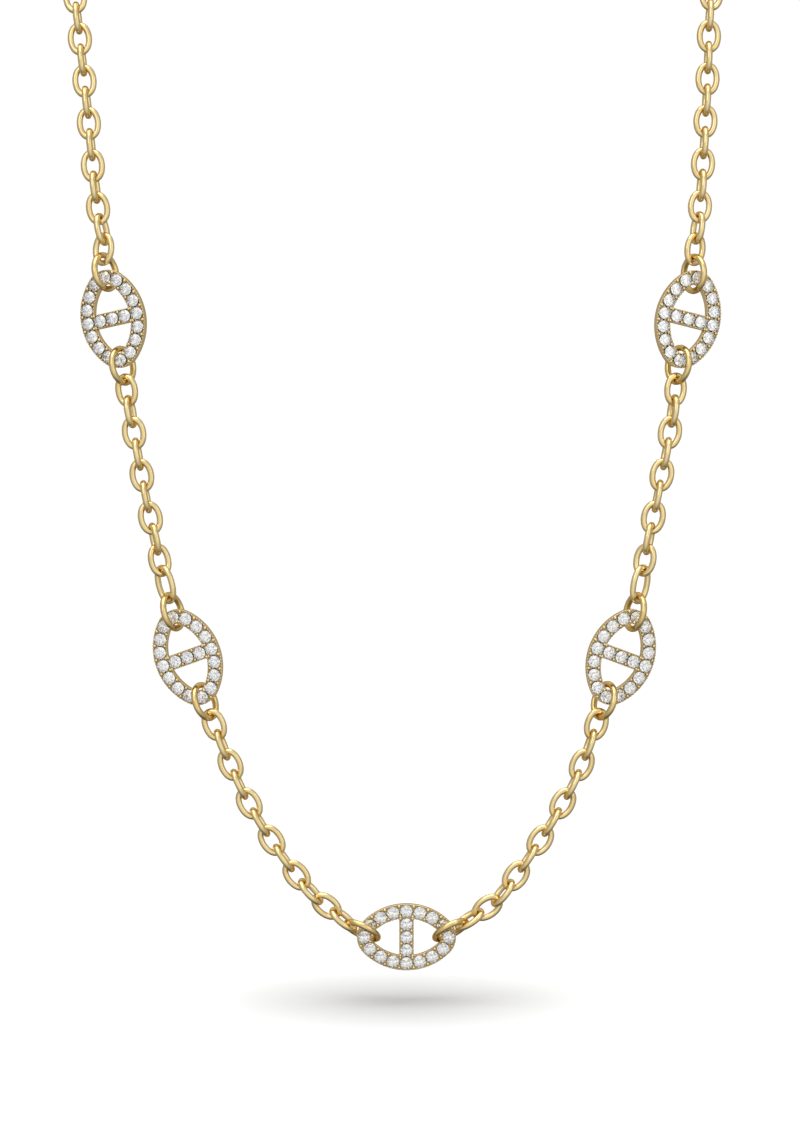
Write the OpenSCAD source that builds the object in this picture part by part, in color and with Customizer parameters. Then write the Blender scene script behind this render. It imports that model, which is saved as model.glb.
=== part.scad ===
// Chain necklace with five stone-set anchor-link stations.
// Millimetres, +Z up, front towards -Y. The origin is the centre of the neck opening.
// Every piece is placed along one closed route, hooked into its neighbours.

/* [Cable links] */
// Outer length of a small oval link
link_length = 4.6; // [4:0.01:5.6]
// Outer width of a small oval link
link_width = 3.3; // [2.8:0.01:3.6]
// Wire diameter of the small links
link_wire = 0.72; // [0.5:0.01:0.85]
// Outer length of the longer link above each lower station
long_link_length = 5.5; // [4.6:0.01:6.5]
// Outer width of the longer link
long_link_width = 3.6; // [3:0.01:4.2]
// Free space left where two links hook into each other
hook_clearance = 0.15; // [0.11:0.01:0.3]

/* [Connecting rings] */
// Outer diameter of the round rings beside each station
ring_diameter = 5.5; // [5:0.05:6.5]
// Wire diameter of the round rings
ring_wire = 0.72; // [0.6:0.01:0.9]
// Free space between a ring and the station band that it hangs on
ring_seat_clearance = 0.28; // [0.24:0.01:0.5]

/* [Stations] */
// Outer length of a station oval
station_length = 13.8; // [12.8:0.05:16]
// Outer width of a station oval
station_width = 9.3; // [8.6:0.05:11]
// Width of the band, seen from the front
band_width = 2; // [1.9:0.01:2.2]
// Front to back thickness of the band
band_thickness = 1.4; // [1.2:0.01:1.6]
// Width of the cross-bar, seen from the front
bar_width = 2; // [1.9:0.01:2.4]
// Bevel on the front edges, seen from the front
front_bevel_width = 0.08; // [0.04:0.01:0.12]
// Depth of the bevel on the front edges
front_bevel_depth = 0.3; // [0.1:0.01:0.4]
// Bevel on the back edges
back_bevel = 0.35; // [0.2:0.01:0.45]

/* [Stones] */
// Girdle diameter of a stone
stone_diameter = 1.65; // [1.4:0.01:1.68]
// Height of the girdle above the band's front
stone_lift = 0.1; // [0.08:0.01:0.2]
// Height from the girdle to the table
crown_height = 0.26; // [0.15:0.01:0.35]
// Table width as a share of the girdle diameter
table_share = 0.57; // [0.5:0.01:0.65]
// Slope of the pavilion facets in degrees
pavilion_angle = 41; // [36:0.5:42]
// Free space between a stone and its seat
seat_clearance = 0.1; // [0.1:0.01:0.12]
// Stones round each oval
oval_stones = 16; // [12:1:16]
// Stones on each cross-bar
bar_stones = 3; // [1:2:3]

/* [Chain] */
// Small links between the middle and a lower station
lower_links = 12; // [8:2:20]
// Small links between a lower and an upper station
middle_links = 9; // [5:2:15]
// Small links between an upper station and the clasp
upper_links = 38; // [28:2:50]
// Small links of those that hang in front, before the chain turns round the neck
front_links = 16; // [12:2:20]

/* [Clasp] */
// Length of the clasp barrel
barrel_length = 6; // [4:0.1:10]
// Diameter of the clasp barrel
barrel_diameter = 3.2; // [2.4:0.1:4]
// Bevel on the ends of the barrel
barrel_bevel = 0.4; // [0.2:0.05:0.5]
// Outer diameter of the two eyelets on the barrel
eyelet_diameter = 2.7; // [2.5:0.05:3.4]
// Wire diameter of the eyelets
eyelet_wire = 0.8; // [0.6:0.01:0.9]
// Distance from the barrel's end to the middle of an eyelet
eyelet_stand = 0.75; // [0.6:0.05:0.9]

/* [Hidden] */
$fn = 48;

GOLD = [0.86, 0.68, 0.36];
STONE = [0.9, 0.93, 0.96];

// Route of the necklace as worn: x, y, z and the way that its face looks (degrees, 0 is the front).
// It is closed, and it runs from the nape down the left of the picture and up the right.
ROUTE = [
    [0, 41.3, 9.4, -180],
    [-18.5, 38.3, 8.6, -148],
    [-31.5, 30.3, 7.2, -115],
    [-40.7, 18.6, 5, -78],
    [-45, 6.8, 1, -44],
    [-46.3, -1.9, -4.6, -17],
    [-45.3, -6.1, -12.3, 0],
    [-43.6, -9.8, -26.9, 0],
    [-42.3, -12.5, -39.3, 0],
    [-40.9, -14, -46.7, 0],
    [-41.3, -14.2, -48.1, 0],
    [-39.4, -15.9, -57.7, 0],
    [-37.3, -17.6, -69.9, 0],
    [-34.8, -19.2, -83, 0],
    [-31.4, -20.5, -97.2, 0],
    [-26.8, -21.3, -109.7, 0],
    [-21.1, -21.8, -123, 0],
    [-13.4, -22, -134.5, 0],
    [-7.8, -22, -139.4, 0],
    [-4.5, -22, -141.8, 0],
    [0.9, -22, -141, 0],
    [6.2, -22, -141.8, 0],
    [9.4, -22, -139.4, 0],
    [14.4, -22, -135.7, 0],
    [24, -21.7, -120.7, 0],
    [29.2, -21.1, -106.5, 0],
    [31.3, -20.9, -102.8, 0],
    [34.6, -19.5, -86.4, 0],
    [37.7, -17.7, -70.7, 0],
    [39, -16.3, -60.3, 0],
    [41.4, -15.3, -54.5, 0],
    [40.7, -14.5, -49.8, 0],
    [41.8, -12.7, -40.4, 0],
    [42.8, -9.4, -25.1, 0],
    [43.4, -6.1, -12, 0],
    [44.7, -1.9, -4.6, 17],
    [44.1, 6.8, 1, 44],
    [40.4, 18.6, 5, 78],
    [31.5, 30.3, 7.2, 115],
    [18.5, 38.3, 8.6, 148]
];
ROUTE_MIDDLE = 20; // row of the middle station
ROUTE_STEPS = 8; // straight steps between two rows

// How far each piece is turned about its own length (degrees, 0 lies flat in the route's face)
MIDDLE_RING_ROLL = -66;
STATION_RING_ROLL = [60, 63, 56, 56]; // below and above the lower station, below and above the upper
STATION_ROLL = [-9, -16]; // lower and upper station look a little outwards
LONG_LINK_ROLL = -48;
LOWER_ROLLS = [[70, -18, 72], [-7, 86], [82, -14]]; // first links, repeat, last links
MIDDLE_ROLLS = [[28, 105, 6, 86], [-4, 84], [-8, 74, -25]];
UPPER_ROLLS = [[-33, 66, -10, 80], [-8, 84], []];
NECK_ROLLS = [[-12, 86], [-1, 86], []];

// The middle rings pull sideways, so they and their first links hang a little closer together
MIDDLE_RING_TUCK = 0.1;
MIDDLE_LINK_TUCK = 0.32;

// Kinds of piece
LINK = 0;
LONG = 1;
RING = 2;
STATION = 3;
CLASP = 4;

// Sizes of each kind

// Route length that a hooked piece takes up, from its inner length
function hooked(inner) = inner - hook_clearance;

// Room that a station loses at each end, because a round ring needs more than a hook does
ring_room = 2 * (ring_seat_clearance - hook_clearance);

eyelet_reach = barrel_length / 2 + eyelet_stand + (eyelet_diameter - eyelet_wire) / 2;

function pitch(kind) =
    kind == LINK ? hooked(link_length - 2 * link_wire) :
    kind == LONG ? hooked(long_link_length - 2 * link_wire) :
    kind == RING ? hooked(ring_diameter - 2 * ring_wire) :
    kind == STATION ? hooked(station_length - 2 * band_width - ring_room) :
    hooked(2 * eyelet_reach - eyelet_wire);

// Pieces on one side, from the middle station outwards: kind, roll, tuck

// Roll of link i of n, from a table of first links, repeat and last links
function roll_in(table, i, n) =
    i < len(table[0]) ? table[0][i] :
    i >= n - len(table[2]) ? table[2][i - (n - len(table[2]))] :
    table[1][(i - len(table[0])) % 2];

// The front part of an upper chain follows its own table, up to where the chain turns
turn_link = front_links - 2;
function upper_roll(i) =
    i < turn_link ? roll_in(UPPER_ROLLS, i, turn_link) : roll_in(NECK_ROLLS, i - turn_link, upper_links);

MIDDLE_RING = 0;
LOWER_FIRST = MIDDLE_RING + 1;
LOWER_END_RING = LOWER_FIRST + lower_links;
LOWER_STATION = LOWER_END_RING + 1;
LOWER_TOP_RING = LOWER_STATION + 1;
LONG_LINK = LOWER_TOP_RING + 1;
UPPER_LOW_RING = LONG_LINK + middle_links + 1;
UPPER_STATION = UPPER_LOW_RING + 1;
UPPER_TOP_RING = UPPER_STATION + 1;
UPPER_FIRST = UPPER_TOP_RING + 1;

SIDE = concat(
    [[RING, MIDDLE_RING_ROLL, MIDDLE_RING_TUCK]],
    [for (i = [0:lower_links - 1])
        [LINK, roll_in(LOWER_ROLLS, i, lower_links), i == 0 ? MIDDLE_LINK_TUCK : 0]],
    [[RING, STATION_RING_ROLL[0], 0], [STATION, STATION_ROLL[0], 0], [RING, STATION_RING_ROLL[1], 0]],
    [[LONG, LONG_LINK_ROLL, 0]],
    [for (i = [0:middle_links - 1]) [LINK, roll_in(MIDDLE_ROLLS, i, middle_links), 0]],
    [[RING, STATION_RING_ROLL[2], 0], [STATION, STATION_ROLL[1], 0], [RING, STATION_RING_ROLL[3], 0]],
    [for (i = [0:upper_links - 1]) [LINK, upper_roll(i), 0]]
);

function tuck_before(i) = i < len(SIDE) ? SIDE[i][2] : 0;

// Distance along the route from the middle of the necklace to the start of each piece,
// and to the end of the last one
STARTS = [for (i = 0, s = pitch(STATION) / 2 - tuck_before(0);
               i <= len(SIDE);
               s = s + pitch(SIDE[min(i, len(SIDE) - 1)][0]) - tuck_before(i + 1), i = i + 1) s];
loop_length = 2 * STARTS[len(SIDE)] + pitch(CLASP);

// The route as a smooth closed curve, scaled to the length of the pieces

function spline(a, b, c, d, t) =
    0.5 * (2 * b + (c - a) * t + (2 * a - 5 * b + 4 * c - d) * t * t + (3 * b - 3 * c + d - a) * t * t * t);

ROWS = [for (r = ROUTE) [r[0], r[1], r[2], sin(r[3]), -cos(r[3])]];
row_count = len(ROWS);
CURVE = [for (i = [0:row_count - 1], j = [0:ROUTE_STEPS - 1])
    spline(ROWS[(i + row_count - 1) % row_count], ROWS[i],
           ROWS[(i + 1) % row_count], ROWS[(i + 2) % row_count], j / ROUTE_STEPS)];
curve_count = len(CURVE);

function place_of(p) = [p[0], p[1], p[2]];

LENGTHS = [for (i = 0, s = 0; i <= curve_count;
                s = s + norm(place_of(CURVE[(i + 1) % curve_count]) - place_of(CURVE[i % curve_count])),
                i = i + 1) s];
route_scale = loop_length / LENGTHS[curve_count];

function wrapped(s) = s - LENGTHS[curve_count] * floor(s / LENGTHS[curve_count]);
function step_at(s, low, high) =
    high - low <= 1 ? low :
    let (half = floor((low + high) / 2)) LENGTHS[half] <= s ? step_at(s, half, high) : step_at(s, low, half);

// Row of the curve at a distance along the necklace from its middle
function at(distance) =
    let (s = wrapped(LENGTHS[ROUTE_MIDDLE * ROUTE_STEPS] + distance / route_scale),
         i = step_at(s, 0, curve_count),
         t = (s - LENGTHS[i]) / (LENGTHS[i + 1] - LENGTHS[i]))
    CURVE[i] * (1 - t) + CURVE[(i + 1) % curve_count] * t;

function unit(v) = v / norm(v);

// Frame of a piece: its length along -T, its face turned by the roll
function frame(middle, size, roll) =
    let (a = place_of(at(middle - size / 2)) * route_scale,
         b = place_of(at(middle + size / 2)) * route_scale,
         c = (a + b) / 2,
         T = unit(b - a),
         q = at(middle),
         f = [q[3], q[4], 0],
         v = unit(f - (f * T) * T),
         w = cos(roll) * cross(T, v) + sin(roll) * v,
         x = -T,
         z = cross(x, w))
    [[x[0], w[0], z[0], c[0]],
     [x[1], w[1], z[1], c[1]],
     [x[2], w[2], z[2], c[2]],
     [0, 0, 0, 1]];

// Frame of piece i on a side: -1 is the left of the picture, 1 is the right
function side_frame(side, i) =
    let (size = pitch(SIDE[i][0])) frame(side * (STARTS[i] + size / 2), size, SIDE[i][1]);

// Shapes

// A four-arc oval: its arcs meet on the diagonals, with a common tangent.
// Offset of the arcs' centres and radius of the end arcs, for a centreline of half axes a and b
function arc_offset(a, b) = (a - b) / (2 - sqrt(2));
function end_radius(a, b) = a - arc_offset(a, b);
function side_radius(a, b) = b + arc_offset(a, b);

// Sweeps a section round a four-arc oval
module swept_oval(a, b) {
    for (turn = [0, 180])
        rotate([0, 0, turn]) {
            translate([arc_offset(a, b), 0, 0])
                rotate_extrude(angle = 90, start = -45)
                    translate([end_radius(a, b), 0]) children();
            translate([0, -arc_offset(a, b), 0])
                rotate_extrude(angle = 90, start = 45)
                    translate([side_radius(a, b), 0]) children();
        }
}

// Wire link: two half-round bows joined by straight sides
module oval_link(length, width, wire) {
    bow = (width - wire) / 2;
    half = (length - width) / 2;
    for (turn = [0, 180])
        rotate([0, 0, turn]) {
            translate([half, 0, 0])
                rotate_extrude(angle = 180, start = -90)
                    translate([bow, 0]) circle(d = wire);
            translate([-half, bow, 0])
                rotate([0, 90, 0])
                    cylinder(h = 2 * half, d = wire);
        }
}

module round_ring(diameter, wire) {
    rotate_extrude()
        translate([(diameter - wire) / 2, 0])
            circle(d = wire);
}

// Section of the band, its front towards +Y
module band_section(width) {
    half = width / 2;
    front = band_thickness / 2;
    polygon([
        [-half, back_bevel - front], [back_bevel - half, -front],
        [half - back_bevel, -front], [half, back_bevel - front],
        [half, front - front_bevel_depth], [half - front_bevel_width, front],
        [front_bevel_width - half, front], [-half, front - front_bevel_depth]
    ]);
}

// Half axes of the band's centreline
oval_a = (station_length - band_width) / 2;
oval_b = (station_width - band_width) / 2;

// Point of the band's centreline at a distance from its end on +X
function on_oval(s) =
    let (k = arc_offset(oval_a, oval_b),
         r = end_radius(oval_a, oval_b),
         R = side_radius(oval_a, oval_b),
         turn = PI / 180,
         end_arc = r * 45 * turn,
         quarter = end_arc + R * 45 * turn,
         whole = 4 * quarter,
         p = s - whole * floor(s / whole),
         n = floor(p / quarter),
         q = n % 2 == 0 ? p - n * quarter : (n + 1) * quarter - p,
         e = q < end_arc ? [k + r * cos(q / r / turn), r * sin(q / r / turn)] :
             let (g = 45 + (q - end_arc) / R / turn) [R * cos(g), -k + R * sin(g)])
    [n == 1 || n == 2 ? -e[0] : e[0], n >= 2 ? -e[1] : e[1]];

oval_length = PI * (end_radius(oval_a, oval_b) + side_radius(oval_a, oval_b));

STONE_PLACES = concat(
    [for (i = [0:oval_stones - 1]) on_oval(oval_length * i / oval_stones)],
    [for (i = [1:bar_stones]) [0, oval_b * (2 * i / (bar_stones + 1) - 1)]]
);

// Conical seats, parallel to the pavilions
seat_mouth = stone_diameter / 2
    + (seat_clearance / cos(pavilion_angle) - stone_lift) / tan(pavilion_angle);
seat_point = 0.04; // radius of the seat's blunt point
seat_over = 0.2; // how far the cutter stands above the band

module station_body() {
    front = band_thickness / 2;
    slope = tan(pavilion_angle);
    difference() {
        union() {
            swept_oval(oval_a, oval_b)
                band_section(band_width);
            translate([0, oval_b, 0])
                rotate([90, 0, 0])
                    linear_extrude(height = 2 * oval_b)
                        band_section(bar_width);
        }
        for (p = STONE_PLACES)
            translate([p[0], p[1], front - (seat_mouth - seat_point) * slope])
                cylinder(h = (seat_mouth - seat_point) * slope + seat_over,
                         r1 = seat_point, r2 = seat_mouth + seat_over / slope);
    }
}

// Round cut: an eight-sided table, 24 crown facets, a sixteen-sided girdle and 16 pavilion facets
module cut_stone() {
    girdle = stone_diameter / 2;
    table = girdle * table_share;
    sides = 16;
    polyhedron(
        points = concat(
            [for (j = [0:7]) [table * cos(45 * j), table * sin(45 * j), crown_height]],
            [for (i = [0:sides - 1]) [girdle * cos(22.5 * i), girdle * sin(22.5 * i), 0]],
            [[0, 0, -girdle * tan(pavilion_angle)]]),
        faces = concat(
            [[for (j = [0:7]) 7 - j]],
            [for (j = [0:7]) [j, 8 + 2 * j, 8 + (2 * j + sides - 1) % sides]],
            [for (j = [0:7]) [j, 8 + (2 * j + 1) % sides, 8 + 2 * j]],
            [for (j = [0:7]) [j, (j + 1) % 8, 8 + (2 * j + 1) % sides]],
            [for (i = [0:sides - 1]) [8 + i, 8 + (i + 1) % sides, 8 + sides]])
    );
}

module stone_field() {
    for (p = STONE_PLACES)
        translate([p[0], p[1], band_thickness / 2 + stone_lift])
            cut_stone();
}

// A run of links or a ring on one side, from piece first to piece last
module run(side, first, last) {
    for (i = [first:last])
        multmatrix(side_frame(side, i)) {
            if (SIDE[i][0] == LINK) oval_link(link_length, link_width, link_wire);
            if (SIDE[i][0] == LONG) oval_link(long_link_length, long_link_width, link_wire);
            if (SIDE[i][0] == RING) round_ring(ring_diameter, ring_wire);
        }
}

module clasp_body() {
    half = barrel_length / 2;
    radius = barrel_diameter / 2;
    rotate([0, 90, 0])
        rotate_extrude()
            polygon([
                [0, -half], [radius - barrel_bevel, -half], [radius, barrel_bevel - half],
                [radius, half - barrel_bevel], [radius - barrel_bevel, half], [0, half]
            ]);
    for (end = [-1, 1])
        translate([end * (half + eyelet_stand), 0, 0])
            round_ring(eyelet_diameter, eyelet_wire);
}

// Nodes

module middle_station_frame() { color(GOLD) multmatrix(frame(0, pitch(STATION), 0)) station_body(); }
module middle_station_stones() { color(STONE) multmatrix(frame(0, pitch(STATION), 0)) stone_field(); }
module left_lower_station_frame() { color(GOLD) multmatrix(side_frame(-1, LOWER_STATION)) station_body(); }
module left_lower_station_stones() { color(STONE) multmatrix(side_frame(-1, LOWER_STATION)) stone_field(); }
module right_lower_station_frame() { color(GOLD) multmatrix(side_frame(1, LOWER_STATION)) station_body(); }
module right_lower_station_stones() { color(STONE) multmatrix(side_frame(1, LOWER_STATION)) stone_field(); }
module left_upper_station_frame() { color(GOLD) multmatrix(side_frame(-1, UPPER_STATION)) station_body(); }
module left_upper_station_stones() { color(STONE) multmatrix(side_frame(-1, UPPER_STATION)) stone_field(); }
module right_upper_station_frame() { color(GOLD) multmatrix(side_frame(1, UPPER_STATION)) station_body(); }
module right_upper_station_stones() { color(STONE) multmatrix(side_frame(1, UPPER_STATION)) stone_field(); }

module left_middle_ring() { color(GOLD) run(-1, MIDDLE_RING, MIDDLE_RING); }
module right_middle_ring() { color(GOLD) run(1, MIDDLE_RING, MIDDLE_RING); }
module left_lower_bottom_ring() { color(GOLD) run(-1, LOWER_END_RING, LOWER_END_RING); }
module right_lower_bottom_ring() { color(GOLD) run(1, LOWER_END_RING, LOWER_END_RING); }
module left_lower_top_ring() { color(GOLD) run(-1, LOWER_TOP_RING, LOWER_TOP_RING); }
module right_lower_top_ring() { color(GOLD) run(1, LOWER_TOP_RING, LOWER_TOP_RING); }
module left_upper_bottom_ring() { color(GOLD) run(-1, UPPER_LOW_RING, UPPER_LOW_RING); }
module right_upper_bottom_ring() { color(GOLD) run(1, UPPER_LOW_RING, UPPER_LOW_RING); }
module left_upper_top_ring() { color(GOLD) run(-1, UPPER_TOP_RING, UPPER_TOP_RING); }
module right_upper_top_ring() { color(GOLD) run(1, UPPER_TOP_RING, UPPER_TOP_RING); }

module left_lower_chain() { color(GOLD) run(-1, LOWER_FIRST, LOWER_END_RING - 1); }
module right_lower_chain() { color(GOLD) run(1, LOWER_FIRST, LOWER_END_RING - 1); }
module left_middle_chain() { color(GOLD) run(-1, LONG_LINK, UPPER_LOW_RING - 1); }
module right_middle_chain() { color(GOLD) run(1, LONG_LINK, UPPER_LOW_RING - 1); }
module left_upper_chain() { color(GOLD) run(-1, UPPER_FIRST, UPPER_FIRST + front_links - 1); }
module right_upper_chain() { color(GOLD) run(1, UPPER_FIRST, UPPER_FIRST + front_links - 1); }
module left_neck_chain() { color(GOLD) run(-1, UPPER_FIRST + front_links, len(SIDE) - 1); }
module right_neck_chain() { color(GOLD) run(1, UPPER_FIRST + front_links, len(SIDE) - 1); }

module clasp() { color(GOLD) multmatrix(frame(loop_length / 2, pitch(CLASP), 0)) clasp_body(); }

middle_station_frame();
middle_station_stones();
left_lower_station_frame();
left_lower_station_stones();
right_lower_station_frame();
right_lower_station_stones();
left_upper_station_frame();
left_upper_station_stones();
right_upper_station_frame();
right_upper_station_stones();
left_middle_ring();
right_middle_ring();
left_lower_bottom_ring();
right_lower_bottom_ring();
left_lower_top_ring();
right_lower_top_ring();
left_upper_bottom_ring();
right_upper_bottom_ring();
left_upper_top_ring();
right_upper_top_ring();
left_lower_chain();
right_lower_chain();
left_middle_chain();
right_middle_chain();
left_upper_chain();
right_upper_chain();
left_neck_chain();
right_neck_chain();
clasp();
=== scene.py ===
"""Dresses a gold chain necklace with five stone-set anchor-link stations.

Every shape is modelled on the bench in millimetres and placed where the CAD solid
that it stands for lies, in metres.
"""

import logging
import math
from collections.abc import Callable, Iterator
from contextlib import contextmanager
from dataclasses import dataclass, field
from enum import Enum

import bmesh
import bpy
import numpy as np
from mathutils import Matrix, Vector


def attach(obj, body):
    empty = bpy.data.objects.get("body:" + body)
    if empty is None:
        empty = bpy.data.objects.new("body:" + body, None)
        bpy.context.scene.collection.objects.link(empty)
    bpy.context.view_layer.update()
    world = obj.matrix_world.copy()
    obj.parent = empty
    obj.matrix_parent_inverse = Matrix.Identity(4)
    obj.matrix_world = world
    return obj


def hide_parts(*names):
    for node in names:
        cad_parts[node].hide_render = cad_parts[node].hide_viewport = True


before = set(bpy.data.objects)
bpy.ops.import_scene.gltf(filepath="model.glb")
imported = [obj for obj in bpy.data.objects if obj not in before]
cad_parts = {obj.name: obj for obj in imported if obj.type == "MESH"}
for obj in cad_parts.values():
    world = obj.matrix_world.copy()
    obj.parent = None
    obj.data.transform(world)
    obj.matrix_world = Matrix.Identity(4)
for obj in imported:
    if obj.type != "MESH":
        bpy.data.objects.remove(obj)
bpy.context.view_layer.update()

log = logging.getLogger("necklace")
# A millimetre, and the distance under which two points of a CAD solid are one, in metres
MM = 0.001
WELD_METRES = 0.000001
# Tolerances on the bench, in millimetres: for a selection, a cut and a merge
NEAR = 0.01
TINY = 0.0001
WELD = 0.0005
# Least share of a normal along an axis for a face that looks that way
ALONG = 0.9
# Step from one node of a shader tree to the next
NODE_STEP = 180
Colour = tuple[float, float, float, float]


class Pick(Enum):
    """What a selection on the bench takes hold of."""

    VERTS = "VERT"
    FACES = "FACE"


class Slot(Enum):
    """Material slots."""

    GOLD = "gold"
    STONE = "stone"


# Bench: the operators that every piece is made with


class Bench:
    """Small wrappers round the modelling operators."""

    @staticmethod
    def clear() -> None:
        """Leaves nothing selected."""
        if bpy.context.object is not None and bpy.context.object.mode != "OBJECT":
            bpy.ops.object.mode_set(mode="OBJECT")
        bpy.ops.object.select_all(action="DESELECT")

    @staticmethod
    def hold(piece: bpy.types.Object) -> None:
        """Selects one piece alone and makes it the active one.

        Args:
            piece: The piece.
        """
        Bench.clear()
        piece.select_set(True)
        bpy.context.view_layer.objects.active = piece

    @staticmethod
    @contextmanager
    def editing(
        piece: bpy.types.Object,
        kind: Pick = Pick.VERTS,
        wanted: Callable[[Vector, Vector], bool] | None = None,
    ) -> Iterator[None]:
        """Opens a piece in edit mode, selects all or parts of it, and closes it afterwards.

        Args:
            piece: Mesh or curve to edit.
            kind: Vertices or faces, where only some are wanted.
            wanted: Test of a part's middle and its normal.
        """
        Bench.hold(piece)
        bpy.ops.object.mode_set(mode="EDIT")
        if piece.type == "CURVE":
            bpy.ops.curve.select_all(action="SELECT")
        elif wanted is None:
            bpy.ops.mesh.select_all(action="SELECT")
        else:
            bpy.ops.mesh.select_mode(type=kind.value)
            bpy.ops.mesh.select_all(action="DESELECT")
            shape = bmesh.from_edit_mesh(piece.data)
            for part in shape.faces if kind is Pick.FACES else shape.verts:
                middle = part.calc_center_median() if kind is Pick.FACES else part.co
                if wanted(middle, part.normal):
                    part.select_set(True)
            shape.select_flush_mode()
            bmesh.update_edit_mesh(piece.data)
        yield
        bpy.ops.object.mode_set(mode="OBJECT")

    @staticmethod
    def set_down(piece: bpy.types.Object) -> None:
        """Puts a piece's place, turn and scale into its mesh.

        Args:
            piece: The piece.
        """
        Bench.hold(piece)
        bpy.ops.object.transform_apply(location=True, rotation=True, scale=True)

    @staticmethod
    def copied(piece: bpy.types.Object, placing: Matrix, name: str = "copy") -> bpy.types.Object:
        """Copies a piece with a mesh of its own.

        Args:
            piece: Piece to copy.
            placing: Where the copy goes, put into its mesh.
            name: The copy's name.

        Returns:
            The copy.
        """
        twin = piece.copy()
        twin.data = piece.data.copy()
        twin.name = name
        twin.data.transform(placing)
        bpy.context.scene.collection.objects.link(twin)
        return twin

    @staticmethod
    def joined(parts: list[bpy.types.Object], name: str) -> bpy.types.Object:
        """Joins pieces into one.

        Args:
            parts: Pieces to join.
            name: Name of the joined piece.

        Returns:
            The joined piece.
        """
        Bench.clear()
        for part in parts:
            part.select_set(True)
        bpy.context.view_layer.objects.active = parts[0]
        if len(parts) > 1:
            bpy.ops.object.join()
        whole = bpy.context.view_layer.objects.active
        whole.name = whole.data.name = name
        return whole

    @staticmethod
    def combine(piece: bpy.types.Object, tool: bpy.types.Object, way: str) -> None:
        """Cuts a tool out of a piece or melts it in, and uses the tool up.

        Args:
            piece: Piece that is changed.
            tool: Closed mesh that changes it.
            way: Name of the Boolean modifier's operation.
        """
        Bench.hold(piece)
        step = piece.modifiers.new("combine", "BOOLEAN")
        step.operation = way
        step.solver = "EXACT"
        step.object = tool
        bpy.ops.object.modifier_apply(modifier=step.name)
        bpy.data.objects.remove(tool)

    @staticmethod
    def outward(piece: bpy.types.Object) -> None:
        """Merges a piece's doubles and turns its faces outwards.

        Args:
            piece: The piece.
        """
        with Bench.editing(piece):
            bpy.ops.mesh.remove_doubles(threshold=WELD)
            bpy.ops.mesh.normals_make_consistent(inside=False)


# Measuring: where the CAD solids lie


@dataclass(frozen=True)
class Solid:
    """One solid of a CAD node, with axes of its own.

    Attributes:
        placing: X along its length and Z its thin way, in metres.
        size: Its extent along each of its axes, in millimetres.
    """

    placing: Matrix
    size: tuple[float, float, float]


class Gauge:
    """Reads solids from the CAD nodes."""

    @staticmethod
    def islands(node: str) -> list[np.ndarray]:
        """Splits a node into its solids.

        Args:
            node: Name of the CAD node.

        Returns:
            One array of triangles for each solid, in metres.
        """
        shape = bmesh.new()
        shape.from_mesh(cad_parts[node].data)
        bmesh.ops.remove_doubles(shape, verts=shape.verts, dist=WELD_METRES)
        bmesh.ops.triangulate(shape, faces=shape.faces)
        found, seen = [], set()
        for start in shape.faces:
            if start in seen:
                continue
            seen.add(start)
            group, queue = [], [start]
            while queue:
                face = queue.pop()
                group.append([list(v.co) for v in face.verts])
                for edge in face.edges:
                    for other in edge.link_faces:
                        if other not in seen:
                            seen.add(other)
                            queue.append(other)
            found.append(np.array(group))
        shape.free()
        return found

    @staticmethod
    def measure(triangles: np.ndarray) -> Solid:
        """Finds a closed solid's own axes from its moments.

        Args:
            triangles: Its triangles, in metres.

        Returns:
            The solid.
        """
        # Each triangle and the middle make a tetrahedron: its volume is a sixth of the product,
        # its centre lies a quarter of the way, and its moments are a twentieth of the sums.
        t = triangles - triangles.reshape(-1, 3).mean(0)
        volume = np.einsum("ij,ij->i", t[:, 0], np.cross(t[:, 1], t[:, 2])) / 6
        total = t.sum(1)
        centre = (volume[:, None] * total / 4).sum(0) / volume.sum()
        spread = np.einsum("i,iaj,iak->jk", volume, t, t)
        spread += np.einsum("i,ij,ik->jk", volume, total, total)
        spread = spread / 20 / volume.sum() - np.outer(centre, centre)
        axes = np.linalg.eigh(spread)[1][:, ::-1].T
        axes[2] = np.cross(axes[0], axes[1])
        reach = triangles.reshape(-1, 3) @ axes.T
        low, high = reach.min(0), reach.max(0)
        placing = Matrix([list(row) for row in axes.T]).to_4x4()
        placing.translation = Vector((low + high) / 2 @ axes)
        return Solid(placing, tuple(float(v) for v in (high - low) / MM))


# Shader node groups and finishes


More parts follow.
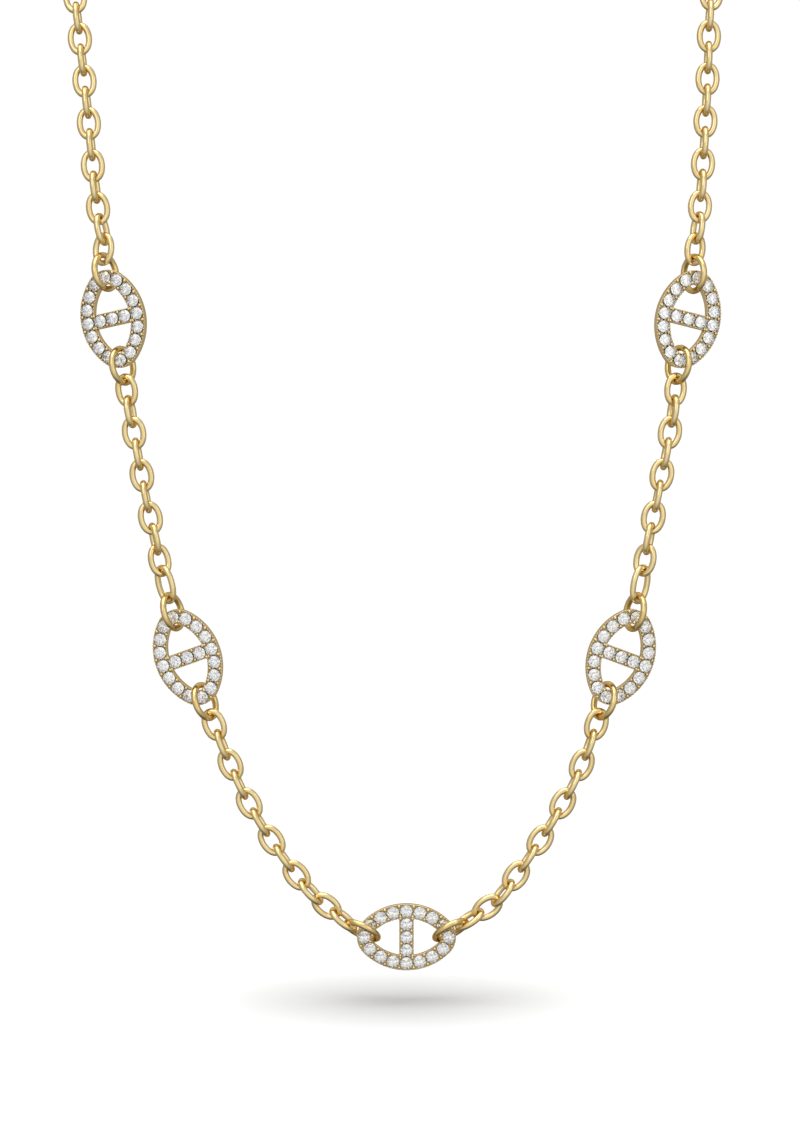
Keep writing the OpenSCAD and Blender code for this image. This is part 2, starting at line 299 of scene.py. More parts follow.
class Graph:
    """A node tree under construction, laid out from left to right."""

    def __init__(self, tree: bpy.types.NodeTree) -> None:
        """Starts on an empty tree.

        Args:
            tree: Tree of a material, world or node group.
        """
        self.tree = tree
        tree.nodes.clear()

    def add(
        self, kind: str, values: dict[str, object] | None = None, **settings: object
    ) -> bpy.types.Node:
        """Adds a node.

        Args:
            kind: Type name of the node.
            values: Value of each input socket that is set.
            **settings: Properties of the node.

        Returns:
            The node.
        """
        node = self.tree.nodes.new(kind)
        node.location = (NODE_STEP * len(self.tree.nodes), 0)
        for key, value in settings.items():
            setattr(node, key, value)
        for socket, value in (values or {}).items():
            node.inputs[socket].default_value = value
        return node

    def wire(self, *wires: tuple[bpy.types.Node, str | int, bpy.types.Node, str | int]) -> None:
        """Links sockets: each wire names a node, its output, the next node and its input."""
        for source, output, target, entry in wires:
            self.tree.links.new(source.outputs[output], target.inputs[entry])

    def ramp(
        self, tints: tuple[Colour, ...], start: float = 0.0, span: float = 1.0
    ) -> bpy.types.Node:
        """Adds a colour ramp with evenly spaced tints.

        Args:
            tints: The tints, from the lowest value to the highest.
            start: Value of the first tint.
            span: How far the last tint's value lies above it.

        Returns:
            The node.
        """
        node = self.add("ShaderNodeValToRGB")
        stops = node.color_ramp.elements
        while len(stops) < len(tints):
            stops.new(0.5)
        for index, (stop, tint) in enumerate(zip(stops, tints)):
            stop.position = start + span * index / (len(tints) - 1)
            stop.color = tint
        return node

    def sockets(self, way: str, **kinds: str) -> None:
        """Args:
            way: INPUT or OUTPUT.
            **kinds: Name and socket type of each.
        """
        for name, kind in kinds.items():
            self.tree.interface.new_socket(name=name, in_out=way, socket_type=kind)


class SharedEffects:
    """Shader node groups that more than one finish uses, each built once."""

    @staticmethod
    def use(graph: Graph, build: Callable[[Graph], None], **values: object) -> bpy.types.Node:
        """Adds a shared effect to a tree, and builds its group the first time.

        Args:
            graph: Tree that takes the effect.
            build: Function that fills the group, and whose name the group bears.
            **values: Value of each input socket that is set.

        Returns:
            The effect's node.
        """
        name = build.__name__
        if name not in bpy.data.node_groups:
            build(Graph(bpy.data.node_groups.new(name, "ShaderNodeTree")))
        return graph.add("ShaderNodeGroup", values, node_tree=bpy.data.node_groups[name])

    @staticmethod
    def alloy_tone(graph: Graph) -> None:
        """Fills the group that lets an alloy's colour drift between two tones.

        Args:
            graph: The group's tree.
        """
        graph.sockets(
            "INPUT", Light="NodeSocketColor", Deep="NodeSocketColor", Scale="NodeSocketFloat"
        )
        graph.sockets("OUTPUT", Colour="NodeSocketColor")
        given = graph.add("NodeGroupInput")
        place = graph.add("ShaderNodeTexCoord")
        cloud = graph.add("ShaderNodeTexNoise", {"Detail": 3.0})
        ramp = graph.add("ShaderNodeMapRange", {"From Min": 0.35, "From Max": 0.65})
        mix = graph.add("ShaderNodeMix", data_type="RGBA")
        out = graph.add("NodeGroupOutput")
        graph.wire(
            (place, "Object", cloud, "Vector"),
            (given, "Scale", cloud, "Scale"),
            (cloud, "Fac", ramp, "Value"),
            (ramp, "Result", mix, "Factor"),
            (given, "Light", mix, "A"),
            (given, "Deep", mix, "B"),
            (mix, "Result", out, "Colour"),
        )

    @staticmethod
    def polish_marks(graph: Graph) -> None:
        """Fills the group that gives the fine marks that polishing and wear leave.

        Args:
            graph: The group's tree.
        """
        graph.sockets(
            "INPUT", Scale="NodeSocketFloat", Low="NodeSocketFloat", High="NodeSocketFloat"
        )
        graph.sockets("OUTPUT", Roughness="NodeSocketFloat", Height="NodeSocketFloat")
        given = graph.add("NodeGroupInput")
        place = graph.add("ShaderNodeTexCoord")
        out = graph.add("NodeGroupOutput")
        turns = ((0.4, 0.2, 0.9), (1.1, 0.7, 2.2))
        stretches = ((1.0, 14.0, 5.0), (12.0, 1.0, 6.0))
        strokes = []
        for turn, stretch in zip(turns, stretches):
            lay = graph.add("ShaderNodeMapping", {"Rotation": turn, "Scale": stretch})
            stroke = graph.add("ShaderNodeTexNoise", {"Detail": 2.0})
            graph.wire(
                (place, "Object", lay, "Vector"),
                (lay, "Vector", stroke, "Vector"),
                (given, "Scale", stroke, "Scale"),
            )
            strokes.append(stroke)
        meet = graph.add("ShaderNodeMath", operation="MULTIPLY")
        spread = graph.add("ShaderNodeMapRange", {"From Min": 0.15, "From Max": 0.4})
        graph.wire(
            (strokes[0], "Fac", meet, 0),
            (strokes[1], "Fac", meet, 1),
            (meet, "Value", spread, "Value"),
            (given, "Low", spread, "To Min"),
            (given, "High", spread, "To Max"),
            (spread, "Result", out, "Roughness"),
            (meet, "Value", out, "Height"),
        )

    @staticmethod
    def painted_hollow_shade_mask(graph: Graph) -> None:
        """Fills the group that finds the hollows, where polish never reaches, for the shade painted
        there.

        Args:
            graph: The group's tree.
        """
        graph.sockets("INPUT", Edge="NodeSocketFloat", Depth="NodeSocketFloat")
        graph.sockets("OUTPUT", Mask="NodeSocketFloat")
        given = graph.add("NodeGroupInput")
        shape = graph.add("ShaderNodeNewGeometry")
        ramp = graph.add("ShaderNodeMapRange", {"To Min": 1.0, "To Max": 0.0})
        out = graph.add("NodeGroupOutput")
        graph.wire(
            (shape, "Pointiness", ramp, "Value"),
            (given, "Depth", ramp, "From Min"),
            (given, "Edge", ramp, "From Max"),
            (ramp, "Result", out, "Mask"),
        )


@dataclass(frozen=True)
class Finish:
    """A material that is built once for all the pieces that wear it.

    Attributes:
        name: Name of the material.
    """

    name: str

    def fill(self, graph: Graph) -> None:
        """Fills the material's empty tree, which each kind of finish does its own way."""
        raise NotImplementedError

    def material(self) -> bpy.types.Material:
        """Builds the finish, or gives the one that is already built.

        Returns:
            The material.
        """
        if self.name not in bpy.data.materials:
            material = bpy.data.materials.new(self.name)
            material.use_nodes = True
            self.fill(Graph(material.node_tree))
        return bpy.data.materials[self.name]


@dataclass(frozen=True)
class GoldFinish(Finish):
    """Yellow gold with its polish.

    Attributes:
        light: Paler tone of the alloy.
        deep: Deeper tone of the alloy.
        hollow: Tone of the shade painted in the hollows and on the marked faces.
        edge: Tint of what the surface reflects at a glance.
        smooth: Lowest roughness.
        worn: Highest roughness.
        relief: Depth of the marks, in metres.
        tone_scale: Scale of the drift between the two tones.
        mark_scale: Scale of the marks.
        hollow_range: Pointiness of a full hollow and of level metal.
    """

    light: Colour
    deep: Colour
    hollow: Colour
    edge: Colour
    smooth: float
    worn: float
    relief: float
    tone_scale: float = 260.0
    mark_scale: float = 900.0
    hollow_range: tuple[float, float] = (0.42, 0.5)

    def fill(self, graph: Graph) -> None:
        """Fills the tree with metal whose colour has shade painted into it in the hollows and on the
        marked faces, where no polish reaches.

        Args:
            graph: The material's tree.
        """
        full, level = self.hollow_range
        tone = SharedEffects.use(
            graph, SharedEffects.alloy_tone, Light=self.light, Deep=self.deep, Scale=self.tone_scale
        )
        # Painted shade: pointiness finds the hollows, whose colour is darkened
        hollows = SharedEffects.use(graph, SharedEffects.painted_hollow_shade_mask, Edge=level, Depth=full)
        marks = SharedEffects.use(
            graph, SharedEffects.polish_marks, Scale=self.mark_scale, Low=self.smooth, High=self.worn
        )
        # Painted shade on the station frame's marked faces: the sunk bed and the rims between beads
        sunk = graph.add("ShaderNodeAttribute", attribute_name="painted_shade")
        shade = graph.add("ShaderNodeMath", operation="MAXIMUM")
        # Painted shade: the colour turns towards the hollow tone in the hollows and on the marked
        # faces
        colour = graph.add("ShaderNodeMix", {"B": self.hollow}, data_type="RGBA")
        bump = graph.add("ShaderNodeBump", {"Distance": self.relief})
        gold = graph.add("ShaderNodeBsdfPrincipled", {"Metallic": 1.0, "Specular Tint": self.edge})
        out = graph.add("ShaderNodeOutputMaterial")
        graph.wire(
            (tone, "Colour", colour, "A"),
            (hollows, "Mask", shade, 0),
            (sunk, "Fac", shade, 1),
            (shade, "Value", colour, "Factor"),
            (colour, "Result", gold, "Base Color"),
            (marks, "Roughness", gold, "Roughness"),
            (marks, "Height", bump, "Height"),
            (bump, "Normal", gold, "Normal"),
            (gold, "BSDF", out, "Surface"),
        )


@dataclass(frozen=True)
class StoneFinish(Finish):
    """Clear, colourless cut stone with a little fire painted on its facets.

    Attributes:
        bend: Refractive index.
        tints: Painted fire, the tint of a facet, from the lowest tone to the highest.
        worn: Highest roughness.
        mark_scale: Scale of the polishing marks.
    """

    bend: float
    tints: tuple[Colour, ...]
    worn: float = 0.02
    mark_scale: float = 1500.0

    def fill(self, graph: Graph) -> None:
        """Fills the tree with clear stone, each facet tinted by its own tone of painted fire.

        Args:
            graph: The material's tree.
        """
        # Painted fire: each facet's tone picks a faint colour that dispersed light would give it
        facet = graph.add("ShaderNodeAttribute", attribute_name="painted_fire_tone")
        ramp = graph.ramp(self.tints)
        marks = SharedEffects.use(
            graph, SharedEffects.polish_marks, Scale=self.mark_scale, Low=0.0, High=self.worn
        )
        stone = graph.add(
            "ShaderNodeBsdfPrincipled", {"Transmission Weight": 1.0, "IOR": self.bend}
        )
        out = graph.add("ShaderNodeOutputMaterial")
        graph.wire(
            (facet, "Fac", ramp, "Fac"),
            (ramp, "Color", stone, "Base Color"),
            (marks, "Roughness", stone, "Roughness"),
            (stone, "BSDF", out, "Surface"),
        )


@dataclass(frozen=True)
class PaintedShadowFloor(Finish):
    """Pale floor with one soft shadow painted into its colour.

    Attributes:
        middle: Middle of the painted shadow, in metres.
        reach: How far the painted shadow reaches along each axis, in metres.
        tone: Tone of the floor.
        depth: Tone in the middle of the painted shadow.
    """

    middle: tuple[float, float, float]
    reach: tuple[float, float, float]
    tone: float
    depth: float

    def fill(self, graph: Graph) -> None:
        """Fills the tree with dull paper, painted darker towards the middle of the painted shadow.

        Args:
            graph: The material's tree.
        """
        place = graph.add("ShaderNodeTexCoord")
        centre = graph.add(
            "ShaderNodeMapping", {"Location": self.middle, "Scale": self.reach}, vector_type="TEXTURE"
        )
        # A soft shadow painted into the floor's colour, darker towards its middle
        fall = graph.add("ShaderNodeTexGradient", gradient_type="SPHERICAL")
        tone = graph.add("ShaderNodeMapRange", {"To Min": self.tone, "To Max": self.depth})
        paper = graph.add("ShaderNodeBsdfPrincipled", {"Roughness": 0.9, "Specular IOR Level": 0.0})
        out = graph.add("ShaderNodeOutputMaterial")
        graph.wire(
            (place, "Object", centre, "Vector"),
            (centre, "Vector", fall, "Vector"),
            (fall, "Fac", tone, "Value"),
            (tone, "Result", paper, "Base Color"),
            (paper, "BSDF", out, "Surface"),
        )


# Each gold's hollow tone is painted shade for its hollows and marked faces
LINK_GOLD = GoldFinish(
    name="link_gold",
    light=(0.9, 0.73, 0.39, 1),
    deep=(0.84, 0.65, 0.31, 1),
    hollow=(0.3, 0.2, 0.07, 1),
    edge=(0.84, 0.6, 0.28, 1),
    smooth=0.12,
    worn=0.22,
    relief=0.000004,
)
RING_GOLD = GoldFinish(
    name="ring_gold",
    light=(0.85, 0.66, 0.31, 1),
    deep=(0.78, 0.57, 0.23, 1),
    hollow=(0.3, 0.18, 0.05, 1),
    edge=(0.84, 0.6, 0.3, 1),
    smooth=0.12,
    worn=0.22,
    relief=0.000004,
)
SETTING_GOLD = GoldFinish(
    name="setting_gold",
    light=(0.87, 0.75, 0.47, 1),
    deep=(0.8, 0.66, 0.39, 1),
    hollow=(0.42, 0.34, 0.17, 1),
    edge=(0.9, 0.7, 0.4, 1),
    smooth=0.16,
    worn=0.3,
    relief=0.000006,
)
GRAIN_GOLD = GoldFinish(
    name="grain_gold",
    light=(0.88, 0.72, 0.42, 1),
    deep=(0.78, 0.58, 0.29, 1),
    hollow=(0.32, 0.22, 0.09, 1),
    edge=(0.9, 0.69, 0.4, 1),
    smooth=0.08,
    worn=0.2,
    relief=0.000003,
)
CLEAR_STONE = StoneFinish(
    name="clear_stone",
    bend=2.42,
    # Faint colours painted on the facets, as fire that a colourless stone shows only in light
    tints=(
        (0.93, 0.88, 0.99, 1),
        (1.0, 0.98, 0.92, 1),
        (0.92, 1.0, 0.9, 1),
        (1.0, 0.9, 0.88, 1),
        (0.92, 0.94, 0.98, 1),
    ),
)


class Piece:
    """Ways to give a finished piece its material and its place in the object."""

    @staticmethod
    def dress(
        piece: bpy.types.Object,
        finish: Finish,
        slot: Slot,
        nodes: tuple[str, ...] = (),
    ) -> bpy.types.Object:
        """Gives a finished piece its material and its place in the object.

        Args:
            piece: Finished piece.
            finish: Its finish.
            slot: Not used.
            nodes: CAD nodes that it stands for.

        Returns:
            The same piece.
        """
        piece.data.materials.clear()
        piece.data.materials.append(finish.material())
        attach(piece, "root")
        if nodes:
            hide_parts(*nodes)
        log.info("%s: %d faces", piece.name, len(piece.data.polygons))
        return piece


# Chain: wire links and rings


@dataclass
class WireLoop:
    """Base shape of a link or a ring, lying flat with its length along X.

    Attributes:
        length: Outer length.
        width: Outer width.
        wire: Wire diameter.
        fullness: How much straighter than an ellipse its sides run.
        steps: Steps round each quarter.
        sides: Half the sides of the wire's section.
        contact_wear: How deep the neighbours have rubbed into the wire at the ends.
        wear_from: Share of the inner half length beyond which the wire is rubbed.
        wear_facing: Least share of a normal that looks inwards on the rubbed flat.
        wear_width: Half width of the rubbed flat as a share of the wire's diameter.
    """

    length: float
    width: float
    wire: float
    fullness: float = 1.12
    steps: int = 12
    sides: int = 4
    contact_wear: float = 0.04
    wear_from: float = 0.9
    wear_facing: float = 0.6
    wear_width: float = 0.36

    def build(self) -> bpy.types.Object:
        """Bends the wire.

        Returns:
            The closed loop, in millimetres.
        """
        Bench.clear()
        bpy.ops.curve.primitive_bezier_circle_add(radius=1.0)
        loop = bpy.context.object
        with Bench.editing(loop):
            bpy.ops.transform.resize(
                value=((self.length - self.wire) / 2, (self.width - self.wire) / 2, 1)
            )
        for point in loop.data.splines[0].bezier_points:
            axis = 0 if abs(point.co.x) < NEAR else 1
            for handle in (point.handle_left, point.handle_right):
                handle[axis] *= self.fullness
        loop.data.resolution_u = self.steps
        loop.data.bevel_depth = self.wire / 2
        loop.data.bevel_resolution = self.sides
        bpy.ops.object.convert(target="MESH")
        loop = bpy.context.object
        Bench.outward(loop)
        self._wear(loop)
        with Bench.editing(loop):
            bpy.ops.mesh.faces_shade_smooth()
        return loop

    def _wear(self, loop: bpy.types.Object) -> None:
        """Rubs a shallow flat where the neighbours hang, on the inside of both ends.

        Args:
            loop: The bent loop.
        """
        inner = self.length / 2 - self.wire
        for end in (-1, 1):
            with Bench.editing(
                loop,
                Pick.VERTS,
                lambda at, facing: end * at.x > inner * self.wear_from
                and end * facing.x < -self.wear_facing
                and abs(at.z) < self.wire * self.wear_width,
            ):
                bpy.ops.transform.translate(value=(end * self.contact_wear, 0, 0))


@dataclass
class Chain:
    """The runs of links and the connecting rings.

    Attributes:
        runs: CAD nodes of the link runs.
        rings: CAD nodes of the round rings.
        fuller_link: How much fuller a link's wire is than its CAD solid's.
        fuller_ring: How much fuller a ring's wire is than its CAD solid's.
        link_fullness: How much straighter than an ellipse a link's sides run.
        ring_fullness: The same of a ring.
        base_loops: Loops that are bent already, by their length and width.
    """

    runs: tuple[str, ...] = (
        "left_lower_chain", "right_lower_chain", "left_middle_chain", "right_middle_chain",
        "left_upper_chain", "right_upper_chain", "left_neck_chain", "right_neck_chain",
    )
    rings: tuple[str, ...] = (
        "left_middle_ring", "right_middle_ring", "left_lower_bottom_ring", "right_lower_bottom_ring",
        "left_lower_top_ring", "right_lower_top_ring", "left_upper_bottom_ring",
        "right_upper_bottom_ring", "left_upper_top_ring", "right_upper_top_ring",
    )
    fuller_link: float = 0.15
    fuller_ring: float = 0.18
    link_fullness: float = 1.14
    ring_fullness: float = 1.0
    base_loops: dict[tuple[float, float], bpy.types.Object] = field(default_factory=dict)

    def _placed(self, node: str, fullness: float, fuller: float) -> list[bpy.types.Object]:
        """Hangs a loop in the place of each solid of a node.

        Args:
            node: Name of the CAD node.
            fullness: How much straighter than an ellipse the sides run.
            fuller: How much thicker the wire is.

        Returns:
            The loops.
        """
        loops = []
        for island in Gauge.islands(node):
            solid = Gauge.measure(island)
            length, width = round(solid.size[0], 1), round(solid.size[1], 1)
            if (length, width) not in self.base_loops:
                self.base_loops[length, width] = WireLoop(
                    length + fuller, width + fuller, solid.size[2] + fuller, fullness
                ).build()
            placing = solid.placing @ Matrix.Scale(MM, 4)
            loops.append(Bench.copied(self.base_loops[length, width], placing))
        return loops

    def build(self) -> list[bpy.types.Object]:
        """Builds and dresses all runs and rings.

        Returns:
            The pieces.
        """
        kinds = (
            (self.runs, "links", self.link_fullness, self.fuller_link, LINK_GOLD),
            (self.rings, "loop", self.ring_fullness, self.fuller_ring, RING_GOLD),
        )
        pieces = []
        for nodes, ending, fullness, fuller, finish in kinds:
            for node in nodes:
                whole = Bench.joined(self._placed(node, fullness, fuller), f"{node}_{ending}")
                pieces.append(Piece.dress(whole, finish, Slot.GOLD, (node,)))
        for base in self.base_loops.values():
            bpy.data.objects.remove(base)
        return pieces


@dataclass
class Clasp:
    """Barrel clasp at the nape, with an eyelet on each end.

    Attributes:
        node: CAD node that it stands for.
        length: Length of the barrel.
        diameter: Diameter of the barrel.
        bevel: Bevel on the barrel's ends.
        bevel_steps: Steps over it.
        eyelet: Outer diameter of an eyelet.
        wire: Wire diameter of an eyelet.
        stand: Distance from the barrel's end to an eyelet's middle.
        collar: Width of the collar on each end.
        seam: Half width of the seam, and its depth.
        panel_edge: Width of the slope round each panel between seam and collar.
        panel_depth: How deep the panels lie.
        sides: Sides of the barrel.
        soft_angle: Angle in degrees under which an edge looks smooth.
    """

    node: str = "clasp"
    length: float = 6.0
    diameter: float = 3.2
    bevel: float = 0.4
    bevel_steps: int = 4
    eyelet: float = 2.7
    wire: float = 0.8
    stand: float = 0.75
    collar: float = 0.7
    seam: float = 0.1
    panel_edge: float = 0.12
    panel_depth: float = 0.08
    sides: int = 48
    soft_angle: float = 35.0

    def _barrel(self) -> bpy.types.Object:
        """Turns the barrel with a collar on each end and a seam round its middle.

        Returns:
            The barrel, in millimetres.
        """
        Bench.clear()
        bpy.ops.mesh.primitive_cylinder_add(
            vertices=self.sides,
            radius=self.diameter / 2,
            depth=self.length,
            rotation=(0, math.pi / 2, 0),
        )
        barrel = bpy.context.object
        Bench.set_down(barrel)
        half = self.length / 2
        panel = half - self.collar
        for at in (-panel, -self.seam, self.seam, panel):
            with Bench.editing(barrel):
                bpy.ops.mesh.bisect(plane_co=(at, 0, 0), plane_no=(1, 0, 0), threshold=TINY)
        with Bench.editing(barrel, Pick.FACES, lambda at, facing: abs(at.x) < self.seam / 2):
            bpy.ops.mesh.extrude_region_shrink_fatten(
                TRANSFORM_OT_shrink_fatten={"value": -self.seam}
            )
        with Bench.editing(
            barrel, Pick.FACES, lambda at, facing: 2 * self.seam < abs(at.x) < panel
        ):
            bpy.ops.mesh.inset(
                thickness=self.panel_edge, depth=-self.panel_depth, use_boundary=True
            )
        with Bench.editing(barrel, Pick.FACES, lambda at, facing: abs(at.x) > half - NEAR):
            bpy.ops.mesh.bevel(offset=self.bevel, segments=self.bevel_steps, affect="EDGES")
        with Bench.editing(barrel):
            bpy.ops.mesh.normals_make_consistent(inside=False)
        return barrel

    def build(self) -> bpy.types.Object:
        """Builds and dresses the clasp.

        Returns:
            The piece.
        """
        solid = Gauge.measure(Gauge.islands(self.node)[0])
        parts = [self._barrel()]
        ring = WireLoop(self.eyelet, self.eyelet, self.wire, 1.0).build()
        reach = self.length / 2 + self.stand
        for at in (-reach, reach):
            parts.append(Bench.copied(ring, Matrix.Translation((at, 0, 0))))
        bpy.data.objects.remove(ring)
        whole = Bench.joined(parts, "clasp_barrel")
        whole.data.transform(solid.placing @ Matrix.Scale(MM, 4))
        Bench.hold(whole)
        bpy.ops.object.shade_smooth_by_angle(angle=math.radians(self.soft_angle))
        return Piece.dress(whole, LINK_GOLD, Slot.GOLD, (self.node,))


# Stations: set ovals with a cross-bar


@dataclass(frozen=True)
class Oval:
    """Four-arc oval whose arcs meet on the diagonals, long along X.

    Attributes:
        a: Half length of the line.
        b: Half width of the line.
    """

    a: float
    b: float

    @property
    def offset(self) -> float:
        """Distance of the arcs' centres from the middle."""
        return (self.a - self.b) / (2 - math.sqrt(2))

    def length(self, out: float = 0.0) -> float:
        """Length of the line that runs a distance outside this one."""
        return math.pi * (self.a + self.b + 2 * out)

    def at(self, share: float, out: float = 0.0) -> tuple[Vector, Vector]:
        """Finds a point on the oval or on a line parallel to it.

        Args:
            share: Share of the way round, from its end on +X.
            out: Distance outside the oval.

        Returns:
            The point and the outward normal there.
        """
        end, side = self.a - self.offset + out, self.b + self.offset + out
        quarter = math.pi / 4 * (end + side)
        way = share % 1.0 * 4 * quarter
        lap = int(way // quarter)
        rest = way - lap * quarter if lap % 2 == 0 else (lap + 1) * quarter - way
        if rest < end * math.pi / 4:
            turn = rest / end
            x, y = self.offset + end * math.cos(turn), end * math.sin(turn)
        else:
            turn = math.pi / 4 + (rest - end * math.pi / 4) / side
            x, y = side * math.cos(turn), side * math.sin(turn) - self.offset
        flip = Vector((-1 if lap in (1, 2) else 1, -1 if lap >= 2 else 1, 0))
        return (
            Vector((x * flip.x, y * flip.y, 0)),
            Vector((math.cos(turn) * flip.x, math.sin(turn) * flip.y, 0)),
        )

    def outside(self, spot: Vector) -> float:
        """Measures how far a point lies outside the oval.

        Args:
            spot: The point.

        Returns:
            The distance, below zero inside the oval.
        """
        x, y = abs(spot.x), abs(spot.y)
        if y < x - self.offset:
            return math.hypot(x - self.offset, y) - (self.a - self.offset)
        return math.hypot(x, y + self.offset) - (self.b + self.offset)


@dataclass
class Brilliant:
    """Round brilliant cut, its girdle on the XY plane.

    Attributes:
        diameter: Girdle diameter.
        crown: Height from the girdle to the table.
        girdle: Height of the girdle's band.
        mains: Main facets on each side of the girdle.
        main_slope: Slope of the crown's main facets, in degrees.
        star_slope: Slope of the star facets.
        upper_slope: Slope of the crown's facets along the girdle.
        pavilion_slope: Slope of the pavilion's main facets.
        lower_slope: Slope of the pavilion's facets along the girdle.
        star_reach: Distance from the middle at which a star facet meets the table.
        girdle_reach: Share of the radius at which the facets along the girdle meet it.
        tone_step: Step from one facet's painted fire tone to the next one's.
    """

    diameter: float = 1.69
    crown: float = 0.27
    girdle: float = 0.03
    mains: int = 8
    main_slope: float = 33.0
    star_slope: float = 19.0
    upper_slope: float = 40.5
    pavilion_slope: float = 40.6
    lower_slope: float = 41.6
    star_reach: float = 0.46
    girdle_reach: float = 0.995
    tone_step: float = 0.6180339

    @staticmethod
    def _cut(slope: float, azimuth: float, reach: float, height: float) -> None:
        """Grinds one facet on the stone that is open in edit mode.

        Args:
            slope: Slope of the facet in degrees, below the girdle where it is negative.
            azimuth: The way that it looks, in degrees.
            reach: Distance from the middle of a point on the facet.
            height: Height of that point.
        """
        tilt, turn = math.radians(abs(slope)), math.radians(azimuth)
        way = Vector((math.cos(turn), math.sin(turn), 0))
        rise = Vector((0, 0, math.copysign(math.cos(tilt), slope)))
        bpy.ops.mesh.select_all(action="SELECT")
        bpy.ops.mesh.bisect(
            plane_co=way * reach + Vector((0, 0, height)),
            plane_no=way * math.sin(tilt) + rise,
            use_fill=True,
            clear_outer=True,
            threshold=TINY,
        )

    def build(self) -> bpy.types.Object:
        """Cuts the stone.

        Returns:
            The stone, in millimetres, with its facets' painted fire tones.
        """
        radius, edge, step = self.diameter / 2, self.girdle / 2, 360 / self.mains
        top = self.crown + edge
        Bench.clear()
        bpy.ops.mesh.primitive_cylinder_add(
            vertices=4 * self.mains, radius=radius, depth=2 * radius
        )
        stone = bpy.context.object
        with Bench.editing(stone):
            self._cut(0.0, 0, 0, top)
            for turn in range(self.mains):
                self._cut(self.main_slope, step * turn, radius, edge)
                self._cut(-self.pavilion_slope, step * turn, radius, -edge)
            for turn in range(self.mains):
                self._cut(self.star_slope, step * (turn + 0.5), self.star_reach, top)
            for turn in range(2 * self.mains):
                azimuth, reach = step * (turn + 0.5) / 2, radius * self.girdle_reach
                self._cut(self.upper_slope, azimuth, reach, edge)
                self._cut(-self.lower_slope, azimuth, reach, -edge)
            bpy.ops.mesh.normals_make_consistent(inside=False)
        # Painted fire: each facet gets a tone of its own
        tone = stone.data.attributes.new("painted_fire_tone", "FLOAT", "FACE")
        for index, face in enumerate(stone.data.polygons):
            face.use_smooth = False
            tone.data[index].value = (index * self.tone_step) % 1.0
        return stone


@dataclass(frozen=True)
class Strip:
    """Section of a band that runs round the oval and along its bar.

    Attributes:
        width: Its width.
        low: Height of its back.
        high: Height of its front.
        front_bevel: Bevel on its front edges.
        back_bevel: Bevel on its back edges.
    """

    width: float
    low: float
    high: float
    front_bevel: float = 0.0
    back_bevel: float = 0.0


